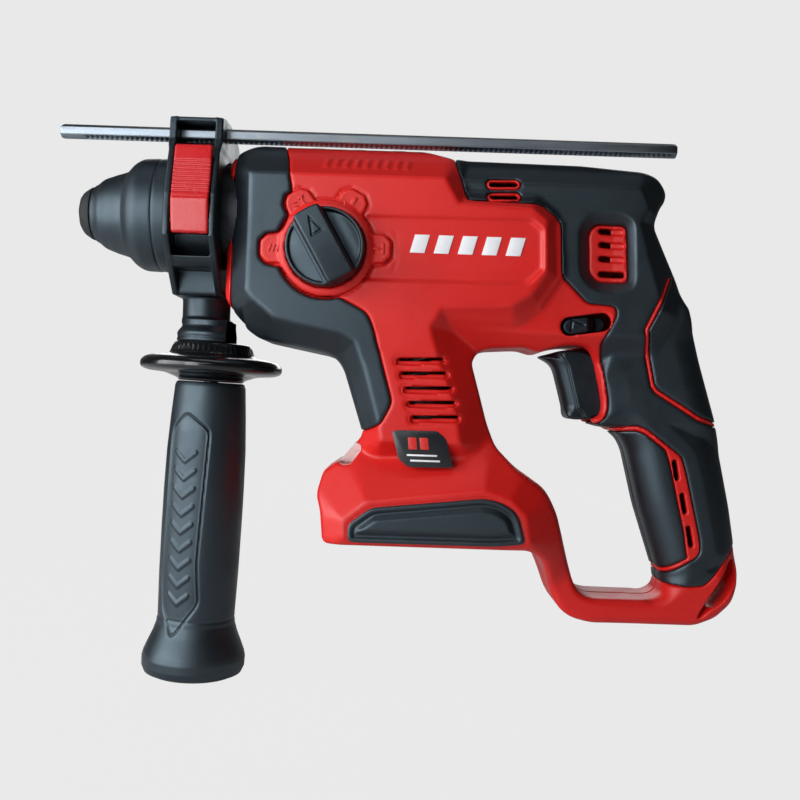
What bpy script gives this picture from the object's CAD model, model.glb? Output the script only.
import bpy
import bmesh
import math
import numpy as np
from functools import reduce
from itertools import product
from mathutils import Vector, Matrix

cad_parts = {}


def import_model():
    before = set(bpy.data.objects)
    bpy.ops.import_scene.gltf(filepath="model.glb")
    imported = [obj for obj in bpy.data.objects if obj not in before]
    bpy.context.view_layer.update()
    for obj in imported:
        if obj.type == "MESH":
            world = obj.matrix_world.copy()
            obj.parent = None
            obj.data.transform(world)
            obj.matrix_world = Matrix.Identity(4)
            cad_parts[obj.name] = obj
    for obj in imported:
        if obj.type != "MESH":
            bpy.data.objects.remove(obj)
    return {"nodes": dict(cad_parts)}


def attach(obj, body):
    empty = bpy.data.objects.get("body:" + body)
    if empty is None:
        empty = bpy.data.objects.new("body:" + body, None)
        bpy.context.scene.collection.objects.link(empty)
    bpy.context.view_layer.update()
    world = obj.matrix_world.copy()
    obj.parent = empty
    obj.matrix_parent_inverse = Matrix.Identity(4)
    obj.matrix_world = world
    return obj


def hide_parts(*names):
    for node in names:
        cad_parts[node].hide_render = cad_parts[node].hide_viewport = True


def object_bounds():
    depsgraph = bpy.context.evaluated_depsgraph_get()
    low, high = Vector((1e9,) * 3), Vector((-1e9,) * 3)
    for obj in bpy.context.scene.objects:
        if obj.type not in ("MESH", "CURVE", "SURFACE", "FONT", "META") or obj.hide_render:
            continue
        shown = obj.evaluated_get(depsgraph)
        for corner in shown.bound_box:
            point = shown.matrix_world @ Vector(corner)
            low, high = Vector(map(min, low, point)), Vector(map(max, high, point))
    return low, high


# Rotary hammer: the looks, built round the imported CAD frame. Lengths are millimetres with
# the origin on the spindle axis at the tool holder's front face; -X is forward, +Z up and
# -Y the left side, which carries the mode knob. Meshes are scaled to metres when written;
# lights and camera are placed in metres.
#
# Most pieces are signed distance fields (negative inside) sampled on a grid and meshed.

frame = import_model()
CAD_LOW, CAD_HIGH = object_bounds()
SHELL_PITCH = 0.7      # grid pitch of the big shells
FINE_PITCH = 0.38     # grid pitch of the small pieces
MM = 0.001

# Places shared by several pieces
KNOB_X, KNOB_Z = 116.3, -18.2            # axis of the mode knob, along Y
ROD_Y, ROD_Z = -17.0, 34.6               # axis of the depth rod, along X
HANDLE_X, HANDLE_Z = 61.4, -50.0         # point the side handle leans about
LEAN_COS, LEAN_SIN = math.cos(math.radians(1.72)), math.sin(math.radians(1.72))
LEVER_PIVOT = (-36.0, -8.0)              # y, z of the depth lever's pin


# ------------------------------------------------------------------ distances
def sd_line(x, z, points):
    """Distance to an open polyline."""
    squared = np.full(x.shape, 1e9)
    for (x1, z1), (x2, z2) in zip(points[:-1], points[1:]):
        ex, ez = x2 - x1, z2 - z1
        wx, wz = x - x1, z - z1
        along = np.clip((wx * ex + wz * ez) / max(ex * ex + ez * ez, 1e-9), 0, 1)
        squared = np.minimum(squared, (wx - ex * along) ** 2 + (wz - ez * along) ** 2)
    return np.sqrt(squared)


def sd_poly(x, z, points):
    """Signed distance to a closed outline."""
    closed = [*points, points[0]]
    inside = np.zeros(x.shape, bool)
    for (x1, z1), (x2, z2) in zip(closed[:-1], closed[1:]):
        if z2 != z1:
            spans = ((z1 <= z) & (z2 > z)) | ((z2 <= z) & (z1 > z))
            inside ^= spans & (x < x1 + (z - z1) * (x2 - x1) / (z2 - z1))
    distance = sd_line(x, z, closed)
    return np.where(inside, -distance, distance)


def rounded(points, rounds=2, reach=1.5):
    """Corner cutting that never takes more than reach mm from an edge."""
    points = [tuple(q) for q in points]
    for _ in range(rounds):
        result = []
        for i, here in enumerate(points):
            for other in (points[i - 1], points[(i + 1) % len(points)]):
                length = math.hypot(here[0] - other[0], here[1] - other[1])
                part = min(0.25, reach / max(length, 1e-6))
                result.append((here[0] + (other[0] - here[0]) * part,
                               here[1] + (other[1] - here[1]) * part))
        points = result
        reach *= 0.5
    return points


def smin(a, b, blend):
    """Union with a blend that many mm wide."""
    h = np.clip(0.5 + 0.5 * (b - a) / blend, 0, 1)
    return b * (1 - h) + a * h - blend * h * (1 - h)


def smax(a, b, blend):
    """Intersection with a blend."""
    return -smin(-a, -b, blend)


def union(*fields):
    return reduce(np.minimum, fields)


def intersect(*fields):
    return reduce(np.maximum, fields)


def cut(solid, *tool):
    """Take the overlap of the tool fields away from a solid."""
    return np.maximum(solid, -intersect(*tool))


def soft_cut(solid, blend, *tool):
    return smax(solid, -intersect(*tool), blend)


def band(values, centre, half):
    """Slab of that half width about a centre."""
    return np.abs(values - centre) - half


def round_join(a, b, radius):
    """Intersection with a rounded edge; a and b are already shrunk by the radius."""
    outer = np.hypot(np.maximum(a, 0), np.maximum(b, 0))
    return outer + np.minimum(np.maximum(a, b), 0) - radius


def step(start, end, values):
    """Smooth 0 to 1 from start to end."""
    t = np.clip((values - start) / (end - start), 0, 1)
    return t * t * (3 - 2 * t)


def bell(values, centre, width):
    return np.exp(-((values - centre) / width) ** 2)


def blur(grid, sigma):
    """Separable gaussian, sigma in cells."""
    reach = int(math.ceil(3 * sigma))
    kernel = np.exp(-0.5 * (np.arange(-reach, reach + 1) / sigma) ** 2)
    kernel /= kernel.sum()
    for _ in range(2):                   # rows, then columns by way of the transpose
        count = len(grid)
        padded = np.pad(grid, [(reach, reach), (0, 0)], mode="edge")
        grid = sum(w * padded[i:i + count] for i, w in enumerate(kernel)).T
    return np.ascontiguousarray(grid)


def axis_grid(low, high, pitch):
    return np.arange(low, high + pitch * 0.5, pitch)


def box_grid(x_range, y_range, z_range, pitch):
    """Low corner and x, y, z arrays of a sampled box."""
    axes = [axis_grid(*r, pitch) for r in (x_range, y_range, z_range)]
    return [axis[0] for axis in axes], np.meshgrid(*axes, indexing="ij")


# --------------------------------------------------------------- mesh making
def add_object(name, mesh, body, material, replaced=None):
    ob = bpy.data.objects.new(name, mesh)
    bpy.context.scene.collection.objects.link(ob)
    mesh.materials.append(material)
    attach(ob, body)
    if replaced:
        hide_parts(replaced)


def new_mesh(name, points, quads, caps=()):
    """Smooth mesh from points in mm, quads and any larger end faces."""
    sizes = [4] * len(quads) + [len(cap) for cap in caps]
    corners = np.concatenate([quads.ravel(), *caps])
    mesh = bpy.data.meshes.new(name)
    mesh.vertices.add(len(points))
    coords = (np.asarray(points, np.float64) * MM).astype(np.float32)
    mesh.vertices.foreach_set("co", coords.ravel())
    mesh.loops.add(len(corners))
    mesh.loops.foreach_set("vertex_index", np.asarray(corners, np.int32))
    mesh.polygons.add(len(sizes))
    starts = np.concatenate([[0], np.cumsum(sizes)[:-1]]).astype(np.int32)
    mesh.polygons.foreach_set("loop_start", starts)
    mesh.polygons.foreach_set("use_smooth", np.full(len(sizes), True))
    mesh.update(calc_edges=True)
    mesh.validate()
    return mesh


def face_outward(mesh, sharp_degrees):
    bm = bmesh.new()
    bm.from_mesh(mesh)
    bmesh.ops.recalc_face_normals(bm, faces=bm.faces)
    bm.to_mesh(mesh)
    bm.free()
    mesh.set_sharp_from_angle(angle=math.radians(sharp_degrees))


def smooth_mesh(name, bm):
    """Turn a bmesh into a smooth mesh and free it."""
    bmesh.ops.recalc_face_normals(bm, faces=bm.faces)
    mesh = bpy.data.meshes.new(name)
    bm.to_mesh(mesh)
    bm.free()
    for face in mesh.polygons:
        face.use_smooth = True
    return mesh


def nets(field):
    """Surface nets: a point in each cell the surface crosses, a quad round each crossed edge."""
    field = np.where(field == 0, 1e-6, field)
    inside = field < 0
    nx, ny, nz = field.shape
    corners = list(product((0, 1), repeat=3))
    count = np.zeros((nx - 1, ny - 1, nz - 1), np.int8)
    for i, j, k in corners:
        count += inside[i:nx - 1 + i, j:ny - 1 + j, k:nz - 1 + k]
    active = (count > 0) & (count < 8)
    cells = np.nonzero(active)
    total = len(cells[0])
    index = np.full(active.shape, -1, np.int32)
    index[active] = np.arange(total, dtype=np.int32)
    points = np.zeros((total, 3))
    weight = np.zeros(total)
    value = {c: field[cells[0] + c[0], cells[1] + c[1], cells[2] + c[2]] for c in corners}
    for start, axis in product(corners, range(3)):
        if start[axis]:
            continue
        end = tuple(1 if q == axis else start[q] for q in range(3))
        first, second = value[start], value[end]
        crossed = (first < 0) != (second < 0)
        part = np.where(crossed, first / np.where(crossed, first - second, 1), 0)
        for q in range(3):
            points[:, q] += np.where(crossed, start[q] + (part if q == axis else 0), 0)
        weight += crossed
    points /= weight[:, None]
    points += np.stack(cells, 1)

    quads = []
    for axis in range(3):
        u, v = (axis + 1) % 3, (axis + 2) % 3
        low_end = [slice(1, -1)] * 3
        high_end = [slice(1, -1)] * 3
        low_end[axis], high_end[axis] = slice(0, -1), slice(1, None)
        low_inside = inside[tuple(low_end)]
        crossed = low_inside != inside[tuple(high_end)]
        place = list(np.nonzero(crossed))
        ring = []
        for back_u, back_v in ((1, 1), (0, 1), (0, 0), (1, 0)):
            cell = list(place)
            cell[u] = cell[u] + 1 - back_u
            cell[v] = cell[v] + 1 - back_v
            ring.append(index[tuple(cell)])
        ring = np.stack(ring, 1)
        reverse = ~low_inside[crossed]
        ring[reverse] = ring[reverse][:, ::-1]
        quads.append(ring)
    return points, np.concatenate(quads)


def relax(points, quads, passes, pull):
    """Light smoothing that pulls every point toward its neighbours."""
    n = len(points)
    for _ in range(passes):
        total = np.zeros((n, 3))
        count = np.zeros(n)
        for a, b in ((0, 1), (1, 2), (2, 3), (3, 0)):
            for here, there in ((a, b), (b, a)):
                for q in range(3):
                    total[:, q] += np.bincount(quads[:, here], points[quads[:, there], q], n)
                count += np.bincount(quads[:, here], minlength=n)
        points = points * (1 - pull) + (total / np.maximum(count, 1)[:, None]) * pull
    return points


def drop_specks(points, quads, smallest=60):
    """Remove loose bits with fewer points than the smallest."""
    label = np.arange(len(points))
    for _ in range(60):
        lowest = np.minimum.reduce([label[quads[:, i]] for i in range(4)])
        spread = label.copy()
        for i in range(4):
            np.minimum.at(spread, quads[:, i], lowest)
        spread = spread[spread]
        spread = spread[spread]
        if (spread == label).all():
            break
        label = spread
    _, group, count = np.unique(label, return_inverse=True, return_counts=True)
    keep = count[group] >= smallest
    renumber = np.cumsum(keep) - 1
    return points[keep], renumber[quads[keep[quads[:, 0]]]]


def from_field(name, field, origin, pitch, body, material, replaced,
               flip=False, passes=1, pull=0.35):
    """Mesh a field; flip mirrors it to -Y."""
    points, quads = nets(field)
    points = relax(points * pitch + np.asarray(origin), quads, passes, pull)
    if flip:
        points = points * np.array([1, -1, 1])
        quads = quads[:, ::-1]
    mesh = new_mesh(name, *drop_specks(points, quads))
    add_object(name, mesh, body, material, replaced)


def ring_quads(rows, count, closed=False):
    """Quads between successive rings of count points."""
    i = np.arange(rows if closed else rows - 1)[:, None]
    j = np.arange(count)[None, :]
    i_next, j_next = (i + 1) % rows, (j + 1) % count
    return np.stack([i * count + j, i_next * count + j,
                     i_next * count + j_next, i * count + j_next], -1).reshape(-1, 4)


def lathe(name, profile, count, place, body, material, replaced=None,
          shape=None, closed=False):
    """Turn (t, radius) rows. place(t, u, v) gives xyz; shape(t, angle, radius) alters radii.
    A closed profile joins its last row to its first; an open one gets end caps."""
    profile = np.asarray(profile, float)
    rows = len(profile)
    turn = np.linspace(0, 2 * math.pi, count, endpoint=False)
    t, angle = np.meshgrid(profile[:, 0], turn, indexing="ij")
    radius = np.repeat(profile[:, 1][:, None], count, 1)
    if shape is not None:
        radius = shape(t, angle, radius)
    points = place(t, radius * np.cos(angle), radius * np.sin(angle)).reshape(-1, 3)
    ring = np.arange(count)
    caps = [] if closed else [ring, (rows - 1) * count + ring[::-1]]
    mesh = new_mesh(name, points, ring_quads(rows, count, closed), caps)
    face_outward(mesh, sharp_degrees=38)
    add_object(name, mesh, body, material, replaced)


def dense(rows, spacing, closed=True):
    """Add points along a profile, about one per spacing."""
    result = []
    n = len(rows)
    for i in range(n if closed else n - 1):
        a, b = rows[i], rows[(i + 1) % n]
        count = max(1, int(math.hypot(b[0] - a[0], b[1] - a[1]) / spacing))
        for j in range(count):
            result.append((a[0] + (b[0] - a[0]) * j / count, a[1] + (b[1] - a[1]) * j / count))
    if not closed:
        result.append(rows[-1])
    return result


def inset(outline, distance):
    """Move an anticlockwise outline inward."""
    result = []
    n = len(outline)
    for i in range(n):
        before, here, after = outline[i - 1], outline[i], outline[(i + 1) % n]
        normals = []
        for a, b in ((before, here), (here, after)):
            dx, dz = b[0] - a[0], b[1] - a[1]
            length = math.hypot(dx, dz) or 1e-9
            normals.append((-dz / length, dx / length))
        (ax, az), (bx, bz) = normals
        share = max(1 + ax * bx + az * bz, 0.35)
        result.append((here[0] + distance * (ax + bx) / share,
                       here[1] + distance * (az + bz) / share))
    return result


def raised_mark(name, outlines, y, buried, top, bevel, material, replaced=None, side=-1):
    """Bevelled x, z outlines standing on the housing's flank at |y|."""
    bm = bmesh.new()
    for points in outlines:
        n = len(points)
        area2 = sum(points[i][0] * points[(i + 1) % n][1] - points[(i + 1) % n][0] * points[i][1]
                    for i in range(n))
        if area2 < 0:
            points = points[::-1]
        levels = ((buried, 0), (top - bevel, 0), (top - bevel * 0.3, bevel * 0.3), (top, bevel))
        rings = [[bm.verts.new(Vector((x, side * (y + height), z)) * MM)
                  for x, z in inset(points, amount)] for height, amount in levels]
        for lower, upper in zip(rings[:-1], rings[1:]):
            for i in range(n):
                j = (i + 1) % n
                bm.faces.new((lower[i], lower[j], upper[j], upper[i]))
        bm.faces.new(rings[-1])
        bm.faces.new(rings[0][::-1])
    mesh = smooth_mesh(name, bm)
    mesh.set_sharp_from_angle(angle=math.radians(30))
    add_object(name, mesh, "housing", material, replaced)


def ribbon(points, width):
    """Outline of a constant-width strip along a polyline."""
    left, right = [], []
    last = len(points) - 1
    for i, (x, z) in enumerate(points):
        a = points[max(i - 1, 0)]
        b = points[min(i + 1, last)]
        dx, dz = b[0] - a[0], b[1] - a[1]
        length = math.hypot(dx, dz) or 1
        left.append((x - dz / length * width / 2, z + dx / length * width / 2))
        right.append((x + dz / length * width / 2, z - dx / length * width / 2))
    return left + right[::-1]


# ----------------------------------------------------------------- materials
class Shader:
    """A material's node tree; methods return output sockets to feed further nodes."""

    def __init__(self, name):
        self.material = bpy.data.materials.new(name)
        self.material.use_nodes = True
        self.tree = self.material.node_tree
        self.principled = self.tree.nodes["Principled BSDF"]
        self.coords = self.tree.nodes.new("ShaderNodeTexCoord")

    def feed(self, node, sockets):
        """Link the inputs given as sockets and set the rest."""
        for key, value in sockets.items():
            if isinstance(value, bpy.types.NodeSocket):
                self.tree.links.new(value, node.inputs[key])
            else:
                node.inputs[key].default_value = value

    def node(self, kind, sockets=None, **settings):
        node = self.tree.nodes.new(kind)
        for key, value in settings.items():
            setattr(node, key, value)
        self.feed(node, sockets or {})
        return node

    def finish(self, sockets):
        self.feed(self.principled, sockets)
        return self.material

    def noise(self, scale, detail=3.0, rough=0.55, stretch=None, distort=0.0):
        noise = self.node("ShaderNodeTexNoise", {"Scale": scale, "Detail": detail,
                                                 "Roughness": rough, "Distortion": distort})
        vector = self.coords.outputs["Object"]
        if stretch:
            mapping = self.node("ShaderNodeMapping", {"Scale": stretch, "Vector": vector})
            vector = mapping.outputs["Vector"]
        self.feed(noise, {"Vector": vector})
        return noise.outputs["Fac"]

    def voronoi(self, scale):
        return self.node("ShaderNodeTexVoronoi", {
            "Scale": scale, "Vector": self.coords.outputs["Object"]}).outputs["Distance"]

    def ramp(self, source, span, to=(0.0, 1.0)):
        """Map the span of the source to another range."""
        return self.node("ShaderNodeMapRange", {
            "From Min": span[0], "From Max": span[1], "To Min": to[0], "To Max": to[1],
            "Value": source}).outputs["Result"]

    def mix(self, factor, first, second):
        # inputs 6 and 7 and output 2 are the colour sockets
        return self.node("ShaderNodeMix", {0: factor, 6: first, 7: second},
                         data_type="RGBA").outputs[2]

    def times(self, first, second):
        return self.node("ShaderNodeMath", {0: first, 1: second},
                         operation="MULTIPLY").outputs[0]

    def bump(self, height, strength, distance, normal=None):
        sockets = {"Strength": strength, "Distance": distance, "Height": height}
        if normal is not None:
            sockets["Normal"] = normal
        return self.node("ShaderNodeBump", sockets).outputs["Normal"]

    def worn_edges(self):
        geometry = self.node("ShaderNodeNewGeometry")
        return self.ramp(geometry.outputs["Pointiness"], span=(0.52, 0.62))


MIDDLE = (0.3, 0.7)                      # span of a noise that carries most of its contrast
COOL = (0.66, 0.86, 1.0)                 # bluish highlight tint


def moulded(name, base, dark, light, rough=0.42, grain=1500.0, depth=0.00006, strength=0.35,
            coat=0.0, specks=0.0, edge=0.25, ior=1.48, tint=(1.0, 1.0, 1.0)):
    """Moulded plastic: mottled colour, fine grain, lighter worn edges and pale specks."""
    s = Shader(name)
    mottle = s.noise(scale=18.0, detail=4.0, rough=0.6)
    fine = s.noise(scale=grain, detail=2.0, rough=0.5)
    smear = s.noise(scale=55.0, detail=5.0, rough=0.65, distort=0.6)
    color = s.mix(s.ramp(mottle, span=MIDDLE), dark, base)
    color = s.mix(s.ramp(fine, span=(0.35, 0.75), to=(0.0, 0.22)), color, light)
    color = s.mix(s.times(s.worn_edges(), edge), color, light)
    if specks:
        dots = s.ramp(s.voronoi(scale=420.0), span=(0.10, 0.05))
        patches = s.ramp(s.noise(scale=60.0), span=(0.52, 0.66))
        speck_color = (0.32, 0.33, 0.34, 1)
        color = s.mix(s.times(s.times(dots, patches), specks), color, speck_color)
    roughness = s.ramp(smear, span=(0.3, 0.75), to=(rough - 0.07, rough + 0.11))
    grain_bump = s.bump(fine, strength, depth)
    pits = s.voronoi(scale=grain * 0.6)
    return s.finish({"Base Color": color, "Roughness": roughness, "IOR": ior,
                     "Specular Tint": tint + (1.0,), "Coat Weight": coat,
                     "Coat Roughness": 0.2,
                     "Normal": s.bump(pits, strength * 0.6, depth, grain_bump)})


def plastic(name, base, dark, light, **look):
    """Moulded plastic from 0-255 sRGB colours."""
    def linear(color):
        parts = [c / 255.0 for c in color]
        return tuple(c / 12.92 if c <= 0.04045 else ((c + 0.055) / 1.055) ** 2.4
                     for c in parts) + (1.0,)
    return moulded(name, linear(base), linear(dark), linear(light), **look)


def metal(name, base, dark, rough=0.3, stretch=(1, 40, 40), scale=60.0, depth=0.00004,
          strength=0.25, aniso=0.4, spots=0.0):
    """Metal with a brushed noise, stretched along the short axis of stretch."""
    s = Shader(name)
    base, dark = base + (1,), dark + (1,)
    brushed = s.noise(scale=scale, detail=4.0, rough=0.6, stretch=stretch)
    mottle = s.noise(scale=40.0, detail=4.0, rough=0.6)
    color = s.mix(s.ramp(brushed, span=MIDDLE), dark, base)
    color = s.mix(s.ramp(mottle, span=(0.45, 0.75), to=(0.0, 0.35)), color, dark)
    if spots:
        spot = s.ramp(s.noise(scale=260.0, detail=5.0, rough=0.7), span=(0.6, 0.72))
        spot_color = (0.05, 0.045, 0.04, 1)
        color = s.mix(s.times(spot, spots), color, spot_color)
    return s.finish({
        "Base Color": color, "Metallic": 1.0, "Anisotropic": aniso,
        "Roughness": s.ramp(brushed, span=(0.25, 0.8), to=(rough - 0.08, rough + 0.14)),
        "Normal": s.bump(brushed, strength, depth)})


def zinc():
    s = Shader("zinc_rod")
    streaks = s.noise(scale=34.0, detail=5.0, rough=0.65, stretch=(0.35, 6, 6))
    pits = s.noise(scale=900.0, rough=0.6)
    blotch = s.noise(scale=26.0, detail=5.0, rough=0.7, distort=0.8)
    dark_blue, pale_blue = (0.15, 0.17, 0.20, 1), (0.30, 0.345, 0.39, 1)
    warm_blotch, grey_pit = (0.36, 0.33, 0.30, 1), (0.25, 0.25, 0.27, 1)
    color = s.mix(s.ramp(streaks, span=MIDDLE), dark_blue, pale_blue)
    color = s.mix(s.ramp(blotch, span=(0.52, 0.7), to=(0.0, 0.5)), color, warm_blotch)
    color = s.mix(s.ramp(pits, span=(0.6, 0.78), to=(0.0, 0.35)), color, grey_pit)
    return s.finish({"Base Color": color, "Metallic": 1.0,
                     "Roughness": s.ramp(streaks, span=(0.25, 0.8), to=(0.28, 0.48)),
                     "Normal": s.bump(pits, strength=0.3, distance=0.00005)})


def clear_lens():
    s = Shader("clear_lens")
    haze = s.noise(scale=700.0, detail=2.0)
    rose, pale_rose = (0.80, 0.62, 0.60, 1), (0.92, 0.80, 0.79, 1)
    return s.finish({"Base Color": s.mix(s.ramp(haze, span=MIDDLE), rose, pale_rose),
                     "Transmission Weight": 0.2,
                     "Roughness": s.ramp(haze, span=MIDDLE, to=(0.08, 0.2)),
                     "IOR": 1.55,
                     "Normal": s.bump(s.noise(scale=500.0), strength=0.15, distance=0.0001)})


# Plastics: base, dark and light colour
RED = plastic("red_housing", (212, 26, 22), (200, 20, 17), (226, 50, 40), rough=0.40, edge=0.18)
SOFT = plastic("soft_overmould", (10, 12, 15), (7, 9, 11), (40, 47, 55), rough=0.45,
               grain=1900.0, depth=0.00005, strength=0.4, specks=0.35, edge=0.14, ior=1.78,
               tint=COOL)
BLACK = plastic("black_nylon", (10, 11, 14), (7, 8, 10), (38, 43, 50), rough=0.38,
                specks=0.2, edge=0.18, ior=1.62, tint=COOL)
SLEEVE = plastic("sleeve_nylon", (13, 16, 20), (10, 12, 15), (44, 52, 60), rough=0.44,
                 specks=0.25, edge=0.14, ior=1.72, tint=COOL)
GLOSS = plastic("gloss_black", (12, 13, 15), (9, 10, 11), (32, 35, 38), rough=0.16,
                grain=700.0, depth=0.00002, strength=0.12, coat=0.4, edge=0.1)
KNOB = plastic("knob_black", (9, 10, 13), (6, 7, 9), (42, 48, 55), rough=0.39, specks=0.5,
               edge=0.2, ior=1.66, tint=COOL)
RED_LEVER = plastic("red_lever", (196, 25, 31), (184, 18, 24), (222, 72, 72), rough=0.27,
                    grain=900.0, coat=0.25, edge=0.2)
WHITE = plastic("white_mark", (238, 238, 240), (222, 223, 227), (255, 255, 255), rough=0.4,
                edge=0.1)
FOIL = plastic("label_foil", (30, 32, 36), (24, 25, 29), (60, 62, 68), rough=0.28,
               grain=2400.0, coat=0.3)
RED_PRINT = plastic("label_red_print", (214, 44, 38), (196, 34, 30), (236, 80, 70), rough=0.3)
# Metals: base and dark colour, linear
STEEL = metal("ground_steel", (0.56, 0.57, 0.59), (0.40, 0.41, 0.43), rough=0.26)
DARK_STEEL = metal("black_oxide", (0.075, 0.078, 0.085), (0.035, 0.037, 0.04), rough=0.36,
                   spots=0.3)
ALLOY = metal("cast_alloy", (0.62, 0.63, 0.65), (0.45, 0.46, 0.48), rough=0.46,
              stretch=(1, 1, 1), scale=900.0, depth=0.00012, strength=0.5, aniso=0.0)
COPPER = metal("enamelled_copper", (0.74, 0.36, 0.17), (0.48, 0.19, 0.08), rough=0.28,
               stretch=(1, 1, 30), scale=240.0, depth=0.0002, strength=0.6, aniso=0.1)
BOARD = moulded("circuit_board", base=(0.012, 0.10, 0.045, 1), dark=(0.008, 0.07, 0.03, 1),
                light=(0.10, 0.22, 0.12, 1), rough=0.36, grain=500.0)
RUBBER = plastic("seal_rubber", (26, 27, 29), (20, 21, 22), (50, 52, 54), rough=0.7,
                 grain=1100.0)
ZINC = zinc()
LENS_CLEAR = clear_lens()
COATED = metal("coated_casting", (0.050, 0.053, 0.060), (0.030, 0.032, 0.036), rough=0.45,
               stretch=(1, 1, 1), scale=900.0, depth=0.0001, strength=0.4, aniso=0.0)
LAMINATED = metal("stator_steel", (0.16, 0.165, 0.175), (0.07, 0.07, 0.08), rough=0.42,
                  stretch=(1, 1, 60), scale=200.0)

# Materials for the CAD pieces left showing, by slot name and then by piece
SLOT_MATERIALS = {
    "red_plastic": RED, "soft_grip": SOFT, "black_plastic": BLACK, "gloss_black": GLOSS,
    "red_lever": RED_LEVER, "white_mark": WHITE, "label": FOIL, "zinc_rod": ZINC,
    "steel": STEEL, "dark_steel": DARK_STEEL, "alloy": ALLOY, "copper": COPPER,
    "lens": LENS_CLEAR, "rubber": RUBBER, "board": BOARD}
PIECE_MATERIALS = {
    "gear_case": COATED, "lever_pin": DARK_STEEL, "motor_stator": LAMINATED,
    "motor_bearings": DARK_STEEL, "clamp_band": DARK_STEEL, "spindle_bearing": DARK_STEEL}
for piece in frame["nodes"].values():
    for piece_slot in piece.material_slots:
        key = (piece_slot.material.name if piece_slot.material else "").split(".")[0]
        piece_slot.material = SLOT_MATERIALS.get(key, STEEL)
for piece_name, piece_material in PIECE_MATERIALS.items():
    for piece_slot in frame["nodes"][piece_name].material_slots:
        piece_slot.material = piece_material

# -------------------------------------------------- housing outlines, x and z
OUTLINE = [
    (69.3, -40), (69.3, 19.5), (70.5, 24), (75, 28.5), (82, 31.9), (160, 31.9), (171.5, 28.2),
    (173.5, 27.4), (175, 28), (186, 28), (232, 27.5), (262, 25.5), (269, 23.5), (273.5, 17.5),
    (272.4, 12.5), (268.6, 8), (266.4, 2), (266.8, -1), (276.4, -19.4), (279, -24.5),
    (287.3, -46.4), (303.2, -99.2), (306, -112.3), (309.9, -130.1), (312.4, -145.6),
    (314.2, -160.2), (311.5, -167), (307.9, -174.4), (301, -181), (291.6, -184.8),
    (243.2, -184.8), (234, -182.6), (228.5, -178.8), (224.8, -172.5), (220.7, -160.3),
    (217.5, -154), (211.5, -149.8), (118.5, -149.8), (117, -135), (114.7, -128.6),
    (117.3, -118), (120, -116), (126.2, -111.5), (134.9, -101), (134.2, -97.5), (125.4, -71),
    (122, -66.4), (117.3, -64), (86, -58.2), (79.8, -54), (72.5, -45.5)]
HAND_HOLE = [
    (208, -58.3), (190.5, -59.6), (186.6, -61.6), (184.2, -65.5), (184.4, -68), (191.5, -93),
    (196, -104.5), (204, -112.6), (217.6, -121.8), (220.7, -126), (224.8, -134.2),
    (228.8, -148.8), (234.5, -166.2), (237.3, -171), (243, -173.3), (272.5, -173.3),
    (276.2, -171), (277.2, -168), (276.5, -162), (266, -130.5), (259.2, -104.1), (256.2, -98.4),
    (251.2, -94.7), (246, -93.2), (243.1, -92.6), (240.9, -91.4), (240.7, -90.3), (243.6, -89.0),
    (245.0, -87.1), (245.5, -83.8), (244.3, -77.1), (242.4, -69.0), (241.0, -63.2),
    (239.2, -59.3), (237.0, -57.4), (233, -56.4), (227, -56.6), (219.7, -58.5), (215.2, -60.6)]
# Areas covered by the soft skins
FRONT_SKIN = [
    (72.8, 45), (94.5, 45), (94.8, 31.5), (97.3, 24.1), (100.7, 6.9), (98.6, 4.6), (97.6, 1.4),
    (99.5, -4.7), (97.0, -10.9), (89.5, -12.6), (87.5, -14.5), (86.6, -16.3), (86.7, -22.5),
    (89.2, -25.5), (97.1, -27.1), (100.9, -32.8), (106.8, -37.5), (114.0, -39.7),
    (122.4, -39.1), (133.1, -44.5), (135.9, -46.7), (137.9, -50.6), (147.8, -84.5),
    (147.2, -87.7), (143.4, -94.9), (141.8, -96.3), (136.5, -98.9), (124, -98.9), (100, -75),
    (72.8, -75)]
REAR_SKIN = [
    (171.0, 45), (173.8, 24.0), (178.7, 7.3), (179.8, 6.1), (212.1, 5.4), (213.9, 4.7),
    (221.2, -1.2), (221.9, -3.5), (222.9, -25.7), (235.2, -38.0), (246.3, -38.7),
    (247.7, -39.5), (248.5, -40.8), (248.5, -43.5), (242.5, -55.5), (247.8, -80.8),
    (248.0, -84.8), (247.3, -88.0), (245.5, -90.8), (243.1, -92.4), (236, -96), (262, -168),
    (274.3, -165.5), (278.9, -166.1), (286.5, -166.6), (294.7, -165.9), (297.9, -162.5),
    (308.5, -149.9), (311.3, -147.9), (335, -146), (335, 45)]
# Lines where the red shell shows through the rear skin
UPPER_LINE = [(274.2, -24.2), (262.5, -48.7), (267.9, -74.0), (269.9, -76.6), (289.8, -88.5),
              (300.0, -91.5)]
LOWER_LINE = [(250.0, -95.0), (262.0, -93.9), (266.0, -95.4), (275.1, -102.2), (278.5, -107.0),
              (285.3, -131.3), (288.9, -150.6), (287.5, -153.6), (280.4, -158.4),
              (276.9, -160.2), (270.0, -161.0)]
VENT_PANEL = [(252.9, -27.5), (240.6, -27.3), (236.3, -23.3), (235.5, -4.7), (238.9, -1.1),
              (251.2, -1.4), (252.6, -3.0), (253.9, -25.9)]
GRIP_PANEL = [(273.8, -99.9), (277.0, -109.3), (284.6, -141.2), (286.1, -151.9),
              (288.0, -154.8), (291.4, -151.9), (292.4, -149.4), (291.9, -144.1),
              (284.8, -114.4), (282.4, -106.5), (278.4, -103.5)]
TRIGGER_OPENING = [(206, -62.2), (214.0, -61.2), (220.5, -58.8), (228.0, -57.0),
                   (234.0, -56.2), (258.0, -56.2), (258.0, -91.4), (232, -92.2), (206, -92.2)]
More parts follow.
